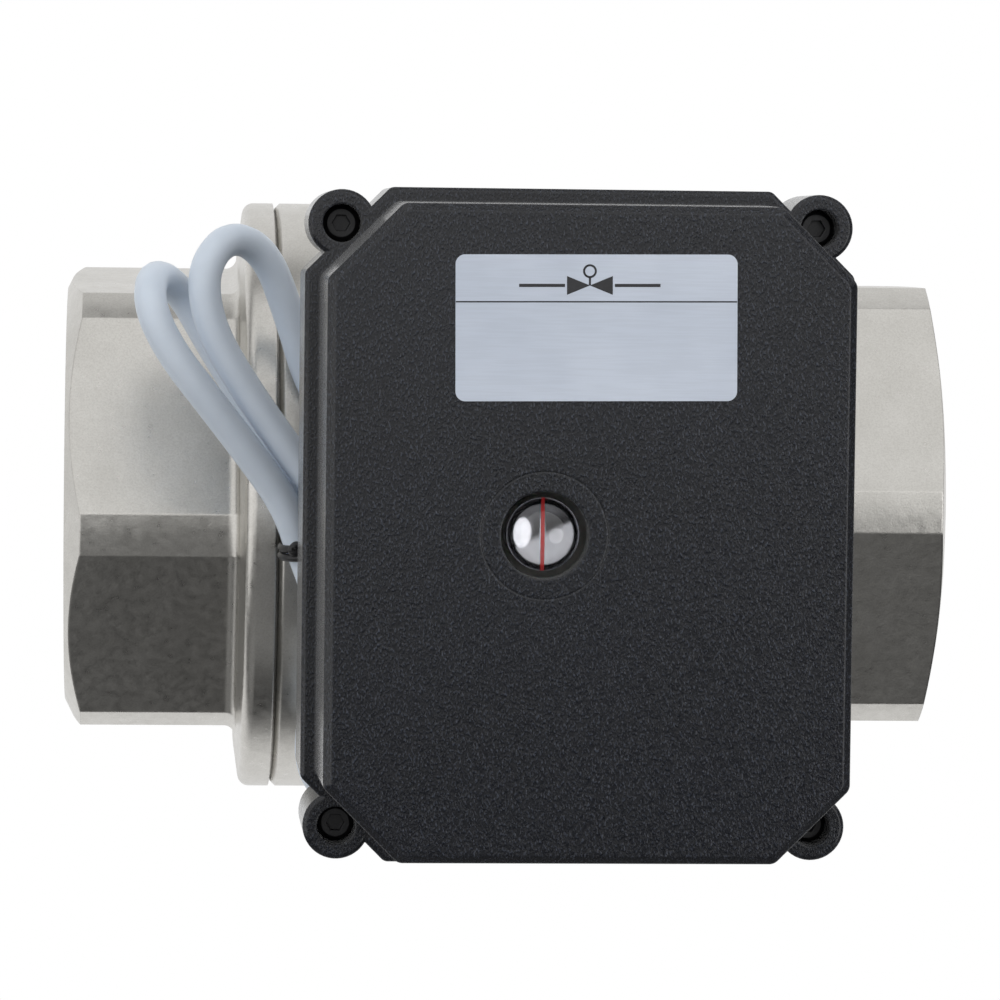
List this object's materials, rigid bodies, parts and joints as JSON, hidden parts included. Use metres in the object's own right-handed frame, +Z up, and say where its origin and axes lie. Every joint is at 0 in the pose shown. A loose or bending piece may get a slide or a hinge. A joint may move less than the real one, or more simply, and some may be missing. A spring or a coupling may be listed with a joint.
{
  "type": "motorized ball valve",
  "caption": "Two-piece stainless ball valve with hexagonal threaded ends, turned a quarter turn by a geared electric actuator in a black octagonal housing with a domed window and tied lead.",
  "frame": {"origin": "where the stem axis crosses the pipe axis, at the centre of the ball", "axes": "+X along the pipe from the screwed end cap to the body end, +Z up the stem into the actuator, +Y completes the right-handed frame"},
  "size_m": [0.1406, 0.1047, 0.1569],
  "materials": {
    "cast_stainless": "bead-blasted investment casting",
    "polished_stainless": "polished",
    "machined_stainless": "turned",
    "ptfe": "waxy white",
    "black_housing": "spark-textured glass-filled nylon",
    "black_rubber": "matt",
    "black_screw": "black oxide",
    "zinc_screw": "zinc plated",
    "zinc_plate": "zinc plated",
    "bronze": "sintered",
    "gear_steel": "hobbed",
    "acetal": "natural white",
    "red_acetal": "moulded",
    "brass": "hobbed",
    "black_plastic": "moulded",
    "spring_steel": "rolled",
    "green_board": "solder mask",
    "terminal_plastic": "moulded",
    "component_plastic": "moulded",
    "indicator_silver": "bright foil",
    "clear_lens": "clear acrylic",
    "label_film": "satin silver film",
    "cable_pvc": "pale grey PVC",
    "wire_insulation": "PVC insulation",
    "tie_black": "PVC-covered wire"
  },
  "bodies": {
    "fixed_assembly": {"valve_body": "cast_stainless", "end_cap": "cast_stainless", "gland_nut": "machined_stainless", "gear_spindles": "machined_stainless", "cap_side_seat": "ptfe", "body_side_seat": "ptfe", "body_gasket": "ptfe", "thrust_washer": "ptfe", "stem_packing": "ptfe", "actuator_base": "black_housing", "actuator_cover": "black_housing", "indicator_bezel": "black_housing", "cover_gasket": "black_rubber", "cable_grommet": "black_rubber", "cover_screws": "black_screw", "mounting_screws": "black_screw", "gear_plate_screws": "zinc_screw", "switch_screws": "zinc_screw", "board_screws": "zinc_screw", "gear_plate": "zinc_plate", "motor_gearhead": "zinc_plate", "motor_can": "zinc_plate", "lower_bush": "bronze", "upper_bush": "bronze", "board_standoffs": "bronze", "motor_end_cap": "acetal", "closed_switch": "black_plastic", "open_switch": "black_plastic", "switch_levers": "spring_steel", "control_board": "green_board", "terminal_block": "terminal_plastic", "relay": "component_plastic", "capacitor": "component_plastic", "label": "label_film", "cable": "cable_pvc", "lead_wires": "wire_insulation", "cable_tie": "tie_black"},
    "ball_drive": {"valve_ball": "polished_stainless", "valve_stem": "machined_stainless", "output_shaft": "machined_stainless", "output_gear": "gear_steel", "closed_cam": "red_acetal", "open_cam": "acetal", "indicator_disc": "indicator_silver", "indicator_line": "red_acetal", "indicator_lens": "clear_lens"},
    "third_stage": {"third_gear": "gear_steel"},
    "second_stage": {"second_gear": "acetal"},
    "first_stage": {"first_gear": "acetal"},
    "motor_shaft": {"motor_pinion": "brass"}
  },
  "joints": [
    {"name": "ball_turn", "type": "hinge", "parent": "fixed_assembly", "child": "ball_drive", "pos_m": [0, 0, 0], "axis": [0, 0, 1], "range_deg": [0, 90]},
    {"name": "third_gear_spin", "type": "hinge", "parent": "fixed_assembly", "child": "third_stage", "pos_m": [0.015, -0.02598, 0.0725], "axis": [0, 0, 1], "range_deg": [-360, 0]},
    {"name": "second_gear_spin", "type": "hinge", "parent": "fixed_assembly", "child": "second_stage", "pos_m": [0.02734, -0.01127, 0.0765], "axis": [0, 0, 1], "range_deg": [0, 1080]},
    {"name": "first_gear_spin", "type": "hinge", "parent": "fixed_assembly", "child": "first_stage", "pos_m": [0.03005, 0.00409, 0.0795], "axis": [0, 0, 1], "range_deg": [-3600, 0]},
    {"name": "motor_shaft_spin", "type": "hinge", "parent": "fixed_assembly", "child": "motor_shaft", "pos_m": [0.02892, 0.01704, 0.081], "axis": [0, 0, 1], "range_deg": [0, 12000]}
  ],
  "couplings": [
    {"joint": "third_gear_spin", "follows": "ball_turn", "ratio": -4},
    {"joint": "second_gear_spin", "follows": "ball_turn", "ratio": 12},
    {"joint": "first_gear_spin", "follows": "ball_turn", "ratio": -40},
    {"joint": "motor_shaft_spin", "follows": "ball_turn", "ratio": 133.33}
  ]
}
